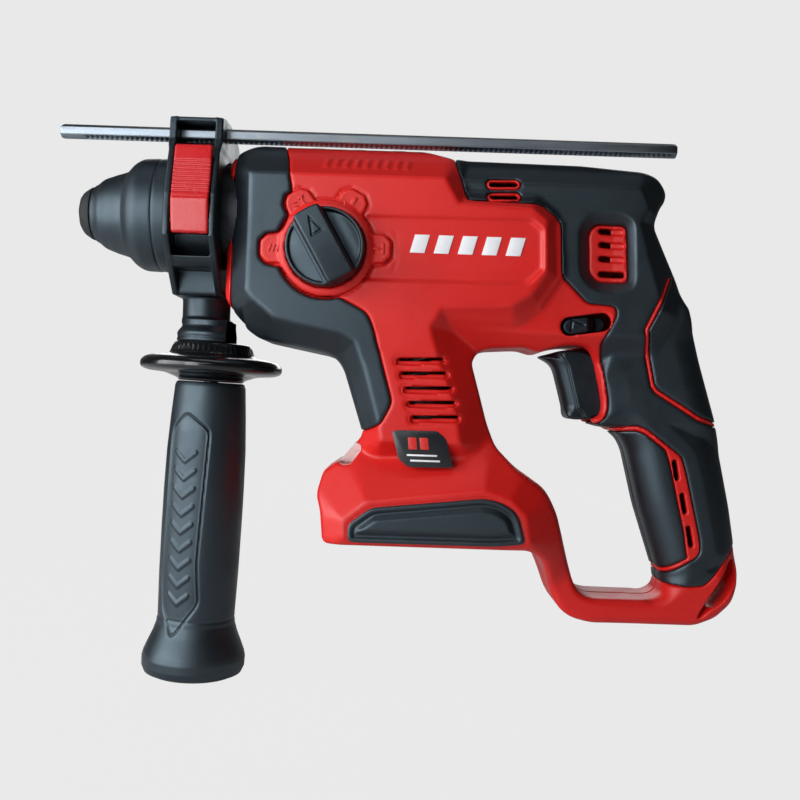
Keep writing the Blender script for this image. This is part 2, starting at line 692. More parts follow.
# x, z and |y| of the flank round each screw
SCREWS = [(165.0, 21.0, 19.0), (257.0, 9.0, 21.0), (284.5, -52.0, 13.0), (297.0, -124.0, 14.0),
          (262.0, -179.0, 13.0), (207.0, -138.0, 33.0), (126.0, -122.5, 33.0),
          (176.0, -42.0, 29.0)]
# Vent slots: x, z of one end, then of the other
NECK_VENTS = [(150.7, -67.1, 170.0, -66.3), (152.3, -73.2, 171.6, -72.5),
              (154.2, -79.8, 173.8, -79.1), (156.0, -86.2, 175.6, -85.5),
              (157.9, -92.7, 177.4, -92.0)]
REAR_VENTS = [(241.5, -3.9, 250.6, -4.3), (241.8, -10.1, 251.0, -10.6),
              (241.9, -16.5, 251.2, -17.1), (242.0, -23.6, 251.2, -23.9)]
UPPER_VENTS = [(190.0, 14.9, 200.7, 15.3), (190.2, 8.4, 200.9, 8.9)]
GRIP_VENTS = [(279.2, -108.8, 280.6, -116.4), (283.2, -124.0, 284.8, -131.8),
              (286.6, -139.2, 288.2, -147.2)]
LENS = [(124.0, -114.0), (126.2, -114.9), (129.8, -114.4), (134.4, -108.2), (134.3, -105.4),
        (131.1, -105.2)]
FLANK_PLATE = [(133.2, -2.1), (207.5, -1.6), (213.4, -6.3), (214.0, -24.5), (206.5, -31.9),
               (131.1, -32.4)]
# Areas where the flank is flat; it falls away outside them
FLAT_MAIN = [
    (81.6, 15), (168.5, 15), (175.0, 3.8), (208.0, 2.6), (214.2, -2.5), (215.3, -25),
    (208.5, -35.5), (200, -41), (168.9, -42.7), (163.7, -51.4), (167.5, -64.1), (175, -83.6),
    (177, -92), (179, -103), (143.5, -103), (142.3, -95.4), (135.3, -71.1), (130.5, -58.9),
    (124.3, -55.4), (104.4, -51.7), (94.1, -49.3), (83.6, -40.8), (81.4, -37.4), (81.6, -31.3)]
FLAT_REAR = [(160, 16), (258, 15), (262, 6), (258, 0), (263, -18), (270, -40), (262, -52),
             (215, -52), (160, -50)]
FLAT_FOOT = [(128, -146), (127.5, -138), (138, -129.5), (190, -123), (202, -127), (209, -134),
             (211, -146)]
FLAT_MIDDLE = [(168, 1), (212, 3), (221, -3), (222.5, -26), (213, -40), (168, -44)]
FLAT_HANDLE = [(203, -110), (216, -110), (238, -96), (248, -62), (258, -40), (296, -36),
               (330, -100), (330, -200), (212, -200), (212, -152), (203, -148)]
ZONE_GRIP = [(246, -52), (290, -44), (300, -60), (330, -165), (272, -172), (250, -96)]
ZONE_SOLID = [(214, -119), (236, -119), (246, -170), (262, -172), (272, -158), (330, -158),
              (330, -200), (214, -200)]
PALM = [(273.5, -90.3), (287.8, -103.7), (292.1, -118.1), (299.4, -150.9), (293.5, -158.8),
        (340, -175), (340, -90)]
POCKET = [(292.6, -179.4), (300.5, -166.5), (305.8, -158.0), (309.6, -152.5), (311.2, -160.0),
          (308.6, -166.2), (303.2, -172.0), (297.2, -177.0), (292.8, -181.0)]
LANYARD_EYE = [(297.0, -176.2), (299.9, -173.0), (304.3, -168.0), (307.6, -162.6),
               (308.3, -164.4), (306.6, -169.6), (302.9, -173.6), (299.6, -176.0)]
BUMPER = [(130.2, -145.6), (130.3, -141.2), (131.3, -139.0), (138.7, -133.4), (141.4, -132.1),
          (189.7, -126.6), (195.9, -127.7), (199.7, -129.3), (203.4, -131.8), (205.6, -135.2),
          (208.4, -145.2), (206.6, -146.4), (194.8, -147.6), (133.0, -147.7), (131.2, -147.2)]
# y, z section of the slot cut along X in the underside of the foot
FOOT_RAIL = [(-1, -160), (22.5, -160), (22.5, -147.6), (26.5, -147.6), (26.5, -143.4),
             (-1, -143.4)]

# ------------------------------------------------------- housing maps over x, z
shell_x = axis_grid(66.5, 317.5, SHELL_PITCH)
shell_y = axis_grid(-1.4, 41.3, SHELL_PITCH)
shell_z = axis_grid(-188.0, 36.0, SHELL_PITCH)
map_x, map_z = np.meshgrid(shell_x, shell_z, indexing="ij")


def region(outline, reach=None, rounds=2):
    """Map of signed distance to an outline, its corners rounded if a reach is given."""
    return sd_poly(map_x, map_z, rounded(outline, rounds, reach) if reach else outline)


def stroke(points, half):
    return sd_line(map_x, map_z, points) - half


def slots(rows, half):
    return union(*(stroke([row[:2], row[2:]], half) for row in rows))


def on_dial(angle, u, v):
    """x, z of a point u out from the knob axis and v across, turned by degrees."""
    c, s = math.cos(math.radians(angle)), math.sin(math.radians(angle))
    return (KNOB_X + u * c - v * s, KNOB_Z + u * s + v * c)


handle_zone = region(FLAT_HANDLE)
grip_zone = region(ZONE_GRIP)
body_map = np.maximum(region(OUTLINE, 1.6), -region(HAND_HOLE, 1.6))
in_grip = step(6, -10, grip_zone)
edge_radius = (1.5 + 1.6 * step(230, 262, map_x) + 10.5 * in_grip
               + 1.2 * step(4, -4, handle_zone) * (1 - in_grip))
vent_panel = region(VENT_PANEL, 1.2)
front_skin = region(FRONT_SKIN, 1.2)
rear_skin = intersect(region(REAR_SKIN, 1.2), -vent_panel, -stroke(UPPER_LINE, 0.95),
                      -stroke(LOWER_LINE, 1.0), -slots(UPPER_VENTS, 2.4),
                      -region(GRIP_PANEL, 1.0))
knob_distance = np.hypot(map_x - KNOB_X, map_z - KNOB_Z)
dial_ring = knob_distance - 21.6
LOBE = [(14, -7.2), (26, -6.2), (28.9, -3.4), (28.9, 3.4), (26, 6.2), (14, 7.2)]
dial_lobes = union(*(region([on_dial(angle, u, v) for u, v in LOBE])
                     for angle in (1.5, 61.5, 121.5, 181.5)))
dial = np.minimum(dial_ring, dial_lobes)


def common_height():
    """|y| of the flank, for both sides."""
    def plateau(top, slope, distance):
        return top - slope * np.maximum(0, distance)

    main_slope = 1.22 - 0.30 * step(152, 164, map_x) * step(-38, -48, map_z)
    main_top = 34.0 - 1.4 * step(-45, -70, map_z)
    main = plateau(main_top, main_slope, region(FLAT_MAIN))
    rear = plateau(25.0, 0.95, region(FLAT_REAR))
    foot = plateau(38.0, 0.80, region(FLAT_FOOT))
    handle = plateau(17.6, 0.9, handle_zone)
    middle = plateau(27.5, 1.3, region(FLAT_MIDDLE))
    height = smax(smax(smax(main, rear, 1.2), smax(foot, handle, 3.0), 2.0), middle, 1.0)
    height = blur(height, 0.55 / SHELL_PITCH)
    # hollow on the rear of the grip
    height = height - 0.32 * np.maximum(0, -region(PALM) - 0.4) * step(-86, -92, map_z)
    # sunken surround of the rear vent panel
    sunk = 20.2 + 0.95 * np.maximum(0, vent_panel - 0.4)
    sunk = sunk + 0.22 * np.maximum(0, map_x - 247)
    height = np.where(vent_panel < 12, smin(height, sunk, 0.5), height)
    # pocket beside the lanyard eye
    pocket = region(POCKET, 1.5)
    floor = np.where(pocket < 1.5, 8.5 + 5.0 * np.maximum(0, pocket + 1.4), 99)
    height = np.minimum(height, floor)
    # recessed flank plate with a low lip
    plate = region(FLANK_PLATE, 0.8, rounds=1)
    on_flank = height > 30
    return height - 1.5 * step(0.0, -1.9, plate) * on_flank + 0.3 * bell(plate, 0.5, 0.7) * on_flank


def with_dial(height):
    """Raised ring with four lobes and a sunken seat for the mode knob."""
    height = np.where(dial < 3.2, np.minimum(height, 34.2), height)
    height = height - 1.1 * bell(dial, 0.55, 0.42)       # shadow gap
    collar = 36.6 - 0.55 * np.maximum(0, knob_distance - 19.6)
    top = np.where(dial_ring < dial_lobes, collar,
                   35.5 - 0.35 * np.clip(dial_lobes + 1.6, 0, 2))
    lobe_top = np.maximum(35.1, np.where(knob_distance < 21.0, collar, 0))
    top = np.where(dial_lobes < -1.4, lobe_top, top)
    height = np.where(dial < 0, np.maximum(top, 34.3), height)
    height = np.where(knob_distance < 17.75, 33.6, height)
    # fine arc line behind the dial
    arc = band(knob_distance, 31.6, 0.15)
    return height - 0.18 * ((arc < 0.35) & (np.abs(map_z - KNOB_Z) < 9) & (map_x > KNOB_X))


def with_boss(height):
    """Round boss opposite the knob, with a ring groove."""
    return (height + 0.7 * step(0.6, -0.6, knob_distance - 15.0)
            - 0.5 * step(0.5, -0.5, band(knob_distance, 12.2, 0.6)))


left_height = with_dial(common_height())
right_height = with_boss(common_height())
# nine slanted ribs along the top bevel
for k in range(9):
    x = 113.5 + 4.55 * k
    rib = region([(x, 19.2), (x + 2.1, 19.2), (x + 3.3, 24.8), (x + 1.2, 24.8)])
    for flank in (left_height, right_height):
        flank += 0.75 * step(0.35, -0.35, rib)
# grooves round the bumper pad and the neck vents
for flank in (left_height, right_height):
    flank -= 0.45 * bell(region(BUMPER), 0.3, 0.45)
    flank -= 0.5 * bell(slots(NECK_VENTS, 1.7), 0.6, 0.6)

lever_slot = stroke([(227.6, -48.4), (242.2, -46.0)], 4.25)
rear_slots = slots(REAR_VENTS, 1.4)
# the part of the rear slots that goes right through
rear_through = np.maximum(rear_slots, np.minimum(map_x - 246.0, map_z + 20.5))
deep_vents = union(slots(UPPER_VENTS, 1.2), rear_through, slots(GRIP_VENTS, 1.15))
shallow_vents = np.minimum(slots(NECK_VENTS, 1.6), rear_slots)
neck_slits = slots([(a, b + 0.85, c, d + 0.85) for a, b, c, d in NECK_VENTS], 0.55)
lanyard_eye = region(LANYARD_EYE, 1.0)
trigger_opening = region(TRIGGER_OPENING)
lens_area = region(LENS)
solid_zone = region(ZONE_SOLID)
foot_rail = sd_poly(*np.meshgrid(shell_y, shell_z, indexing="ij"), FOOT_RAIL)

# ---------------------------------------------------------- shells and skins
NOSE_BORE = 25.5                         # bore round the spindle
WALL = 3.2
SKIN_DEPTH = 1.9                         # how far the skins reach into the shell
REBATE_DEPTH = 1.62                      # recess in the shell under them
SCREW_BOSS, SCREW_HOLE, SCREW_HEAD, SKIN_HOLE = 4.6, 2.1, 3.75, 4.0      # radii
TOP_RIBS = [(106.0, 113.5), (125.0, 132.0), (143.5, 151.0)]              # x from, to
REAR_NOTCHES = [(306.3, -105.5), (308.8, -116.5), (311.0, -128.0), (313.0, -139.6)]


def lift(flat_map):
    """Spread an x, z map along y."""
    return flat_map.astype(np.float32)[:, None, :]


def cell_of(place, axis):
    return int((place - axis[0]) / SHELL_PITCH)


# name, area, height above the shell, x window and z window that hold the skin
SKINS = [
    ("front_overmould", front_skin, 0.25,
     slice(0, cell_of(152, shell_x)), slice(cell_of(-104, shell_z), None)),
    ("rear_overmould", rear_skin, 0.28,
     slice(cell_of(168, shell_x), None), slice(cell_of(-172, shell_z), None))]

# y runs outward from the centre plane on either side
vol_x = shell_x.astype(np.float32)[:, None, None]
vol_y = shell_y.astype(np.float32)[None, :, None]
vol_z = shell_z.astype(np.float32)[None, None, :]
radial = np.hypot(vol_y, vol_z)


def screw_fields():
    """Distance from each screw's axis and |y| of the flank there."""
    for screw_x, screw_z, flank in SCREWS:
        yield np.hypot(vol_x - screw_x, vol_z - screw_z), flank, screw_x


def outer_field(height):
    """Outer form of one half, before any hollowing."""
    x, y, z = vol_x, vol_y, vol_z
    slope_x, slope_z = np.gradient(height, SHELL_PITCH)
    slant = np.sqrt(1 + np.minimum(slope_x ** 2 + slope_z ** 2, 4.0))
    radius = lift(edge_radius)
    flank = (y - lift(height)) / lift(slant) + radius
    field = round_join(lift(body_map) + radius, flank, radius)
    for start, end in TOP_RIBS:
        rib = intersect(band(x, (start + end) / 2, (end - start) / 2), y - 9.0,
                        band(z, 32.0, 1.0))
        field = smin(field, rib, 0.7)
    # the nose is turned down to a radius that grows rearward
    nose = np.interp(shell_x, [60, 68.9, 76.6, 79.3, 400], [44.4, 44.4, 51.3, 52.2, 52.2])
    nose = nose.astype(np.float32)[:, None, None]
    field = soft_cut(field, 0.8, (nose - radial) * 0.76, x - 79.3)
    return soft_cut(field, 0.6, lift(lens_area), 8.7 - y)


def shell_field(outer, height, left):
    """Hollow half shell with rebates for the skins, bosses and openings."""
    x, y = vol_x, vol_y
    shell = outer
    for area in (front_skin, rear_skin):
        shell = cut(shell, lift(area - 0.15), -(outer + REBATE_DEPTH))
    shell = cut(shell, outer + WALL, -lift(solid_zone))
    for distance, flank, screw_x in screw_fields():
        boss = np.maximum(distance - SCREW_BOSS, outer + 0.5)
        if flank > 20 and screw_x < 212:
            boss = np.maximum(boss, 3.0 - y)
        shell = np.minimum(shell, boss)
    shell = cut(shell, radial - NOSE_BORE, x - 78.2)
    shell = cut(shell, lift(trigger_opening), y - 10.5)
    shell = cut(shell, lift(deep_vents), (9.5 if left else lift(height) - 2.3) - y)
    shell = cut(shell, lift(shallow_vents), lift(height) - 2.0 - y)
    shell = cut(shell, lift(neck_slits), 24.5 - y)
    shell = cut(shell, lift(lever_slot))
    shell = cut(shell, lift(lanyard_eye))
    shell = cut(shell, lift(lens_area - 0.1), y - 9.3)
    shell = cut(shell, foot_rail.astype(np.float32)[None, :, :], x - 204.0, 105.0 - x)
    if left:
        shell = cut(shell, lift(knob_distance) - 6.1, 24.0 - y)
    for distance, flank, _ in screw_fields():
        if left:
            shell = cut(shell, distance - SCREW_HOLE, y - 8)
        else:
            shell = cut(shell, distance - SCREW_HOLE)
            shell = cut(shell, distance - SCREW_HEAD, (flank - 4.2) - y)
    return np.maximum(shell, 0.05 - y)


def skin_field(name, area, proud, outer, left):
    x, y, z = vol_x, vol_y, vol_z
    skin = soft_cut(smax(outer - proud, lift(area) + 0.12, 0.9), 0.3, outer + SKIN_DEPTH)
    if name == "front_overmould":
        skin = cut(skin, radial - NOSE_BORE, x - 84.5)
        if left:
            skin = cut(skin, lift(dial - 0.75))
    else:
        skin = cut(skin, lift(trigger_opening - 0.4), y - 11.0)
        skin = cut(skin, lift(lever_slot))
        for notch_x, notch_z in REAR_NOTCHES:
            skin = soft_cut(skin, 0.5, np.hypot(x - (notch_x + 0.35), z - notch_z) - 1.25)
    skin = np.maximum(skin, 0.06 - y)
    if not left:
        for distance, flank, _ in screw_fields():
            skin = cut(skin, distance - SKIN_HOLE, (flank - 4.6) - y)
    return skin


def housing_half(tag, height):
    left = tag == "left"
    outer = outer_field(height)
    from_field("housing_shell_" + tag, shell_field(outer, height, left),
               (shell_x[0], shell_y[0], shell_z[0]), SHELL_PITCH, "housing",
               RED, "housing_" + tag, flip=left, passes=2, pull=0.3)
    for name, area, proud, in_x, in_z in SKINS:
        skin = skin_field(name, area, proud, outer, left)
        from_field(f"{name}_{tag}_skin", skin[in_x, :, in_z],
                   (shell_x[in_x][0], shell_y[0], shell_z[in_z][0]), SHELL_PITCH, "housing",
                   SOFT, f"{name}_{tag}", flip=left, passes=2, pull=0.3)


housing_half("left", left_height)
housing_half("right", right_height)


# --------------------------------------------------- small parts on the housing
def bumper_pads():
    """Foot pads: rim, groove and crowned middle."""
    origin, (x, y, z) = box_grid((128.5, 210.5), (36.5, 42.2), (-149.5, -125.0), FINE_PITCH)
    area = sd_poly(x[:, 0, :], z[:, 0, :], rounded(BUMPER, 2, 1.2))
    height = blur(39.5 - 0.9 * step(-1.8, -2.6, area) + 2.2 * step(-3.0, -6.2, area), 0.9)
    pad = smax(smax(area[:, None, :], y - height[:, None, :], 0.8), 37.3 - y, 0.2)
    for tag in ("left", "right"):
        from_field(f"foot_bumper_{tag}_pad", pad, origin, FINE_PITCH, "housing",
                   SOFT, "foot_bumper_" + tag, flip=tag == "left")


def height_at(height, x, z):
    """Bilinear reading of a flank height map."""
    across, up = (x - shell_x[0]) / SHELL_PITCH, (z - shell_z[0]) / SHELL_PITCH
    i, k = int(across), int(up)
    fx, fz = across - i, up - k
    return float(height[i, k] * (1 - fx) * (1 - fz) + height[i + 1, k] * fx * (1 - fz)
                 + height[i, k + 1] * (1 - fx) * fz + height[i + 1, k + 1] * fx * fz)


def flank_bars():
    """Five slanted bars on each flank plate."""
    starts = [153.6 + 10.7 * k for k in range(5)]
    bars = [[(x, -18.6), (x + 6.6, -18.6), (x + 8.8, -10.4), (x + 2.2, -10.4)] for x in starts]
    for side, tag, height in ((-1, "left", left_height), (1, "right", right_height)):
        raised_mark("flank_bars_" + tag, bars, height_at(height, 180, -28.0), buried=-0.6,
                    top=0.45, bevel=0.18, material=WHITE,
                    replaced="badges", side=side)


def label():
    """Dark foil on the left with two red blocks and two white lines."""
    foil = [(148.3, -98.3), (151.5, -97.8), (168.6, -97.7), (172.6, -101.1), (176.1, -113.9),
            (156.1, -114.2), (151.7, -110.7)]
    blocks = [[(156.1, -106.2), (159.9, -106.2), (159.3, -100.9), (155.5, -100.9)],
              [(161.3, -106.2), (165.1, -106.2), (164.5, -100.9), (160.7, -100.9)]]
    lines = [[(155.4, -109.2), (168.8, -109.2), (168.9, -108.4), (155.3, -108.4)],
             [(157.0, -111.6), (170.2, -111.6), (170.2, -110.8), (156.9, -110.8)]]
    foil_y, foil_top = 32.55, 0.35
    raised_mark("label_foil", [rounded(foil, 1, 0.8)], foil_y, buried=-1.6, top=foil_top,
                bevel=0.12, material=FOIL, replaced="label_plate")
    for name, shapes, slot, material in (("label_mark", blocks, "label", RED_PRINT),
                                         ("label_lines", lines, "white_mark", WHITE)):
        raised_mark(name, shapes, foil_y + foil_top, buried=-0.2, top=0.14, bevel=0.05,
                    material=material)


def pictograms():
    """Marks on the four dial lobes."""
    # lobe angle, polyline as (out from the axis, across), strip width
    strips = [(1.5, [(19.6, 0.0), (25.2, 0.0)], 0.9), (1.5, [(25.4, -2.6), (25.4, 2.4)], 1.5)]
    strips += [(181.5, [(20.6 + 1.8 * k, -1.6), (21.8 + 1.8 * k, 1.6)], 0.75)
               for k in range(3)]
    strips += [(121.5, [(19.9, -1.6), (25.0, -1.6)], 0.8),
               (121.5, [(25.2, -3.0), (25.2, -0.2)], 1.2)]
    strips += [(121.5, [(20.6 + 1.7 * k, 1.2), (21.4 + 1.7 * k, 3.2)], 0.65)
               for k in range(3)]
    strips += [(61.5, [(22.6, -0.2), (26.4, -0.2)], 1.9),
               (61.5, [(21.2, -2.9), (20.4, -1.2), (20.2, 0.6), (21.0, 2.4), (22.4, 3.1)], 0.75)]
    outlines = [[on_dial(angle, u, v) for u, v in ribbon(points, width)]
                for angle, points, width in strips]
    raised_mark("mode_pictograms", outlines, 34.9, buried=-0.5, top=0.75, bevel=0.2,
                material=RED)


def mode_knob():
    """Round dish with a pointer bar across it; outward is -Y."""
    pitch = FINE_PITCH * 0.8
    knob_radius = 17.3
    origin, (x, y, z) = box_grid((-18.2, 18.2), (-51.4, -35.6), (-18.2, 18.2), pitch)
    c, s = math.cos(math.radians(120)), math.sin(math.radians(120))
    along = x * c + z * s                # along the pointer
    across = -x * s + z * c
    r = np.hypot(x, z)
    dish = np.where(across < 0, -39.2 - 0.9 * step(6.0, 14.0, -across),
                    -41.6 + 1.2 * step(7.0, 16.0, across))
    disc = smax(smax(r - knob_radius, dish - y, 0.9), y + 36.9, 0.3)
    rim = smax(band(r, knob_radius - 0.7, 0.7), -42.4 - y, 0.5)
    disc = smin(disc, np.maximum(rim, y + 37.0), 0.6)
    bar_top = -50.3 + 0.00336 * (along - 4.0) ** 2
    bar_half = 6.0 + 0.10 * (y + 50.0)
    bar = smax(np.abs(across) - bar_half, bar_top - y, 1.0)
    bar = smax(bar, along - 16.9, 1.0)
    bar = smax(bar, -along - 16.6, 1.6)
    bar = smax(bar, r - (knob_radius - 0.05), 0.8)
    bar = np.maximum(bar, y + 37.5)
    # ridge along one flank of the bar
    ridge = smax(band(across, 7.3, 0.55), -43.6 - y, 0.4)
    ridge = intersect(ridge, r - (knob_radius - 0.4), y + 38)
    knob = smin(smin(disc, bar, 0.8), ridge, 0.4)
    # triangular groove in the bar's top
    arrow = sd_poly(along[:, 0, :], across[:, 0, :], [(4.6, -3.2), (13.4, 0.0), (4.6, 3.2)])
    knob = cut(knob, np.where(y > -49.4, 1.0, band(arrow[:, None, :], -0.5, 0.5)))
    knob = np.minimum(knob, intersect(r - 5.95, y + 35.9, -38.5 - y))    # hub
    from_field("mode_knob_dial", knob, (KNOB_X + origin[0], origin[1], KNOB_Z + origin[2]),
               pitch, "knob", KNOB, "mode_knob", pull=0.25)
    lathe("mode_knob_shaft", [(-37.0, 5.9), (-30.3, 5.9), (-30.0, 5.6)], 64,
          lambda t, u, v: np.stack([KNOB_X + u, t, KNOB_Z + v], -1), "knob",
          BLACK)


def trigger():
    outline = [(215.9, -61.6), (220.4, -60.4), (227.0, -58.4), (234.5, -57.9), (240.0, -59.6),
               (243.6, -62.0), (249.4, -66.0), (249.4, -85.0), (245.6, -89.0), (241.1, -90.6),
               (232.7, -91.0), (230.2, -89.4), (228.0, -81.0), (224.4, -68.0), (222.6, -65.2),
               (220.0, -63.4)]
    front_edge = [(216, -61.6), (222.6, -65.0), (224.6, -68.0), (228.0, -81.0),
                  (230.2, -89.4), (232.7, -91)]
    origin, (x, y, z) = box_grid((213.5, 251.0), (-11.4, 11.4), (-93.0, -56.0), FINE_PITCH)
    flat_x, flat_z = x[:, 0, :], z[:, 0, :]
    area = sd_poly(flat_x, flat_z, rounded(outline, 2, 1.6))[:, None, :]
    from_front = sd_line(flat_x, flat_z, front_edge)[:, None, :]
    radius = 1.4 + 5.2 * step(9.0, 3.0, from_front) * step(-90, -84, z)
    half_width = 9.9 - 0.9 * step(6.5, 5.4, from_front)
    shoe = round_join(area + radius, np.abs(y) - half_width + radius, radius)
    from_field("trigger_shoe", shoe, origin, FINE_PITCH, "trigger", BLACK,
               "trigger")


def direction_lever():
    """Bar through the housing with a paddle on each side."""
    origin, (x, y, z) = box_grid((223.0, 247.0), (-22.8, 22.8), (-54.0, -40.5), FINE_PITCH)
    flat_x, flat_z = x[:, 0, :], z[:, 0, :]
    start = (228.4, -48.3)
    paddle = sd_line(flat_x, flat_z, [start, (236.8, -47.0)])[:, None, :] - 3.75
    core = sd_line(flat_x, flat_z, [start, (241.6, -46.3)])[:, None, :] - 3.7
    out = np.abs(y)
    lever = smax(paddle, out - (22.2 - 0.9 * np.maximum(0, x - 236.0)), 1.2)
    lever = smin(lever, np.maximum(core, out - 15.0), 0.6)
    arrow = sd_poly(flat_x, flat_z, [(228.6, -50.2), (234.8, -47.3), (229.2, -45.2)])
    lever = cut(lever, np.abs(arrow)[:, None, :] - 0.38, 21.75 - out)
    from_field("direction_lever_paddle", lever, origin, FINE_PITCH, "direction",
               BLACK, "direction_lever")


bumper_pads()
flank_bars()
label()
pictograms()
mode_knob()
trigger()
direction_lever()


# ------------------------------------------------ tool holder: x, radius rows
def on_spindle(t, u, v):
    return np.stack([t, u, v], -1)


def locking_sleeve():
    profile = [
        (3.3, 10.95), (3.3, 13.0), (5.5, 14.1), (8.4, 16.5), (13.8, 18.6), (19.8, 20.3),
        (20.6, 20.9), (23.8, 24.3), (26.7, 26.0), (28.5, 26.5), (35.0, 26.7), (35.4, 26.35),
        (36.0, 26.35), (36.4, 26.7), (42.0, 26.7), (42.6, 26.2), (42.6, 24.2), (31.0, 24.2),
        (31.0, 11.15), (23.0, 11.15), (20.5, 13.5), (9.0, 13.5), (9.0, 9.1), (5.2, 9.1),
        (5.2, 10.95)]

    def scallops(t, angle, radius):
        # six shallow recesses round the waist, outer surface only
        waist = step(9.5, 12.5, t) * step(19.6, 17.0, t)
        recess = 0.25 * waist * (0.5 + 0.5 * np.cos(6 * angle))
        return np.where(radius > 13.6, radius - recess, radius)

    lathe("locking_sleeve_shell", dense(rounded(profile, 2, 0.7), 0.7), 192, on_spindle,
          "sleeve", SLEEVE, "locking_sleeve", shape=scallops, closed=True)


def dust_cap():
    profile = [(-3, 5.5), (-3, 7.6), (-2.7, 8.5), (-1.4, 10.3), (1.7, 12.3), (3.0, 12.7),
               (3.0, 10.0), (3.4, 10.0), (3.4, 9.0), (0.0, 9.0), (0.0, 5.5)]

    def wavy_lip(t, angle, radius):
        lip = (t < -1.0) & (radius < 9.0)
        return np.where(lip, radius + 0.18 * np.cos(8 * angle), radius)

    lathe("dust_cap_lip", dense(rounded(profile, 2, 0.5), 0.5), 160, on_spindle, "spindle",
          RUBBER, "dust_cap", shape=wavy_lip, closed=True)


# ------------------------------------------------- side handle: z, radius rows
def on_handle(t, u, v):
    """Upright handle coordinates to the leaning axis."""
    up = t - HANDLE_Z
    return np.stack([HANDLE_X + u * LEAN_COS + up * LEAN_SIN, v,
                     HANDLE_Z - u * LEAN_SIN + up * LEAN_COS], -1)


def handle_flange():
    profile = [(-60.4, 4.2), (-60.4, 17.8), (-61.8, 18.6), (-65.6, 20.0), (-66.4, 21.5),
               (-67.0, 27.0), (-68.2, 31.5), (-70.0, 33.2), (-71.6, 33.5), (-73.4, 33.0),
               (-74.6, 30.0), (-75.2, 22.0), (-77.6, 15.6), (-78.6, 15.4), (-78.6, 4.2)]

    def knurl(t, angle, radius):
        # fine flutes round the neck above the disc
        return radius + 0.16 * np.cos(48 * angle) * ((t < -62.2) & (t > -65.4) & (radius > 17))

    lathe("handle_flange_disc", dense(rounded(profile, 2, 0.8), 0.6), 288, on_handle,
          "handle_clamp", GLOSS, "handle_flange", shape=knurl, closed=True)


def side_grip():
    profile = [(-78.9, 8.5), (-78.9, 15.2), (-79.4, 16.0), (-81.0, 16.6), (-95.0, 17.6),
               (-111.5, 18.5), (-130.0, 18.8), (-147.0, 18.8), (-170.0, 18.6), (-188.8, 18.1),
               (-193.5, 18.5), (-197.9, 19.9), (-203.5, 22.3), (-207.0, 23.7), (-209.5, 24.3),
               (-213.6, 24.2), (-216.4, 23.0), (-217.8, 20.0), (-217.9, 8.0), (-217.9, 2.0)]
    # panel outline: mm round the grip from the panel's middle, z
    panel = [(-0.8, -93.5), (9.8, -100.5), (10.8, -103.0), (9.6, -135.0), (8.6, -163.0),
             (10.4, -182.0), (-1.0, -198.0), (-9.2, -185.5), (-10.6, -172.0), (-9.0, -135.0),
             (-9.6, -104.0), (-8.6, -100.0)]

    def panels(t, angle, radius):
        """Sunken chevron panel on the -Y and +Y sides, and a ring groove low down."""
        result = radius.copy()
        for side in (-1, 1):
            middle = side * math.pi / 2 - 0.35
            turn = (angle - middle + math.pi) % (2 * math.pi) - math.pi
            around = turn * 18.0 * -side
            near = (np.abs(turn) < 1.2) & (radius > 15) & (t < -85) & (t > -203)
            area = sd_poly(around, t, rounded(panel, 2, 1.6))
            chevrons = np.full(around.shape, 1e9)
            for k in range(9):
                z = -113.5 - 8.3 * k
                for sign in (-1, 1):
                    arm = sd_line(around, t, [(0, z - 2.6), (sign * 4.9, z + 1.6)]) - 0.95
                    chevrons = np.minimum(chevrons, arm)
            relief = -0.75 * bell(area, -0.1, 0.55) - 0.32 * step(-0.6, -1.6, area)
            relief = relief + 0.5 * step(0.35, -0.35, chevrons) * (area < -1.5)
            result = result + np.where(near, relief, 0)
        return result - 0.3 * bell(t, -190.6, 0.6) * (radius > 15)

    lathe("side_grip_body", dense(profile, 0.55, closed=False),
          420, on_handle, "grip", SOFT, "side_grip",
          shape=panels)


